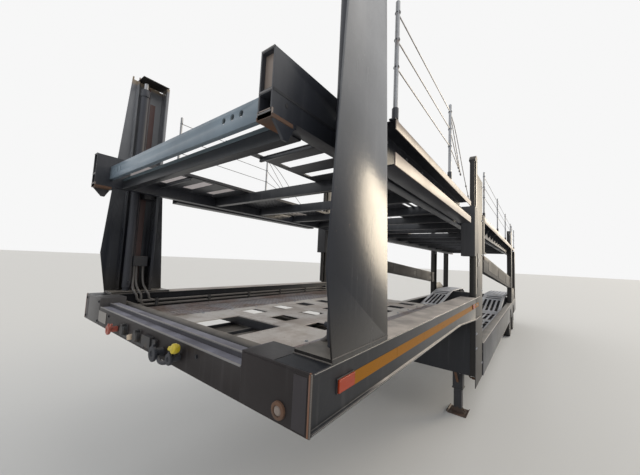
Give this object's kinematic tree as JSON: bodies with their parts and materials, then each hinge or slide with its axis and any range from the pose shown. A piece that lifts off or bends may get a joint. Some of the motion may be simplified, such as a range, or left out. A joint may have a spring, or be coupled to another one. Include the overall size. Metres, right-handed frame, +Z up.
{
  "type": "car transporter semi-trailer",
  "caption": "Two-deck car transporter semi-trailer with a raised gooseneck, lifting decks between masts, twin wheels and landing legs.",
  "frame": {"origin": "on the ground, under the middle of the trailer's length and width", "axes": "+X to the trailer's own left side, +Y to its tail, +Z up; it is pulled towards -Y"},
  "size_m": [2.55, 13, 3.775],
  "materials": {
    "slate_paint": "semi-gloss, weathered",
    "zinc": "galvanised",
    "dark_steel": "matt",
    "cylinder_grey": "satin",
    "rusty_steel": "rusted",
    "tyre": "worn",
    "rim": "satin",
    "red_plastic": "gloss",
    "yellow_plastic": "gloss",
    "black_plastic": "matt",
    "amber_lens": "gloss",
    "red_lens": "gloss"
  },
  "bodies": {
    "chassis": {"gooseneck_sills": "slate_paint", "front_beam": "slate_paint", "front_cross_tube": "slate_paint", "gooseneck_members": "slate_paint", "centre_lattice": "slate_paint", "gooseneck_runways": "slate_paint", "kingpin_plate": "dark_steel", "drop_wall": "slate_paint", "front_masts": "slate_paint", "mid_masts": "slate_paint", "rear_posts": "slate_paint", "mast_cylinders": "cylinder_grey", "lock_bars": "rusty_steel", "low_longerons": "slate_paint", "low_members": "slate_paint", "bogie_beams": "slate_paint", "low_runways": "zinc", "axles": "dark_steel", "suspension": "dark_steel", "mudguards": "black_plastic", "landing_legs": "dark_steel", "marker_lamps": "amber_lens", "air_coupling_red": "red_plastic", "air_coupling_yellow": "yellow_plastic", "sockets": "black_plastic", "air_tanks": "slate_paint", "underrun_bar": "slate_paint", "tail_lamps": "red_lens", "ramps": "zinc"},
    "front_lift": {"front_carriages": "slate_paint"},
    "front_deck": {"front_deck_longerons": "slate_paint", "front_deck_members": "slate_paint", "front_deck_runways": "zinc", "front_deck_wings": "slate_paint", "front_deck_rails": "zinc"},
    "front_slides": {"front_guides": "dark_steel"},
    "rear_lift": {"rear_carriages": "slate_paint"},
    "rear_deck": {"rear_deck_longerons": "slate_paint", "rear_deck_members": "slate_paint", "rear_deck_runways": "zinc", "rear_deck_wings": "slate_paint", "rear_deck_rails": "zinc"},
    "rear_slides": {"rear_guides": "dark_steel"},
    "arm_left": {"lift_arm_left": "slate_paint"},
    "arm_right": {"lift_arm_right": "slate_paint"},
    "wheel_1_left": {"tyres_1_left": "tyre", "rims_1_left": "rim"},
    "wheel_1_right": {"tyres_1_right": "tyre", "rims_1_right": "rim"},
    "wheel_2_left": {"tyres_2_left": "tyre", "rims_2_left": "rim"},
    "wheel_2_right": {"tyres_2_right": "tyre", "rims_2_right": "rim"}
  },
  "joints": [
    {"name": "wheel_1_left_roll", "type": "hinge", "parent": "chassis", "child": "wheel_1_left", "pos_m": [0, 3.55, 0.394], "axis": [1, 0, 0], "continuous": true},
    {"name": "wheel_1_right_roll", "type": "hinge", "parent": "chassis", "child": "wheel_1_right", "pos_m": [0, 3.55, 0.394], "axis": [1, 0, 0], "continuous": true},
    {"name": "wheel_2_left_roll", "type": "hinge", "parent": "chassis", "child": "wheel_2_left", "pos_m": [0, 4.86, 0.394], "axis": [1, 0, 0], "continuous": true},
    {"name": "wheel_2_right_roll", "type": "hinge", "parent": "chassis", "child": "wheel_2_right", "pos_m": [0, 4.86, 0.394], "axis": [1, 0, 0], "continuous": true},
    {"name": "front_deck_lift", "type": "slide", "parent": "chassis", "child": "front_lift", "axis": [0, 0, 1], "range_m": [-0.5, 0.55]},
    {"name": "front_deck_tilt", "type": "hinge", "parent": "front_lift", "child": "front_deck", "pos_m": [0, -3.08, 2.739], "axis": [1, 0, 0], "range_deg": [-5, 5]},
    {"name": "front_slide_pivot", "type": "hinge", "parent": "front_deck", "child": "front_slides", "pos_m": [0, -6.025, 2.739], "axis": [1, 0, 0], "range_deg": [-5, 5]},
    {"name": "rear_deck_lift", "type": "slide", "parent": "chassis", "child": "rear_lift", "axis": [0, 0, 1], "range_m": [-0.5, 0.25]},
    {"name": "rear_deck_tilt", "type": "hinge", "parent": "rear_lift", "child": "rear_deck", "pos_m": [0, -2.27, 2.7], "axis": [1, 0, 0], "range_deg": [-1.5, 1.5]},
    {"name": "rear_slide_pivot", "type": "hinge", "parent": "rear_deck", "child": "rear_slides", "pos_m": [0, 4.205, 2.7], "axis": [1, 0, 0], "range_deg": [-1.5, 1.5]},
    {"name": "arm_left_swing", "type": "hinge", "parent": "chassis", "child": "arm_left", "pos_m": [0, 3.83, 1.64], "axis": [1, 0, 0], "range_deg": [-2.61, 5.02]},
    {"name": "arm_right_swing", "type": "hinge", "parent": "chassis", "child": "arm_right", "pos_m": [0, 3.83, 1.64], "axis": [1, 0, 0], "range_deg": [-2.61, 5.02]}
  ],
  "couplings": [
    {"joint": "front_slide_pivot", "follows": "front_deck_tilt", "ratio": -1},
    {"joint": "rear_slide_pivot", "follows": "rear_deck_tilt", "ratio": -1},
    {"joint": "arm_left_swing", "follows": "rear_deck_lift", "rad_per_m": -0.16835},
    {"joint": "arm_right_swing", "follows": "rear_deck_lift", "rad_per_m": -0.16835}
  ]
}
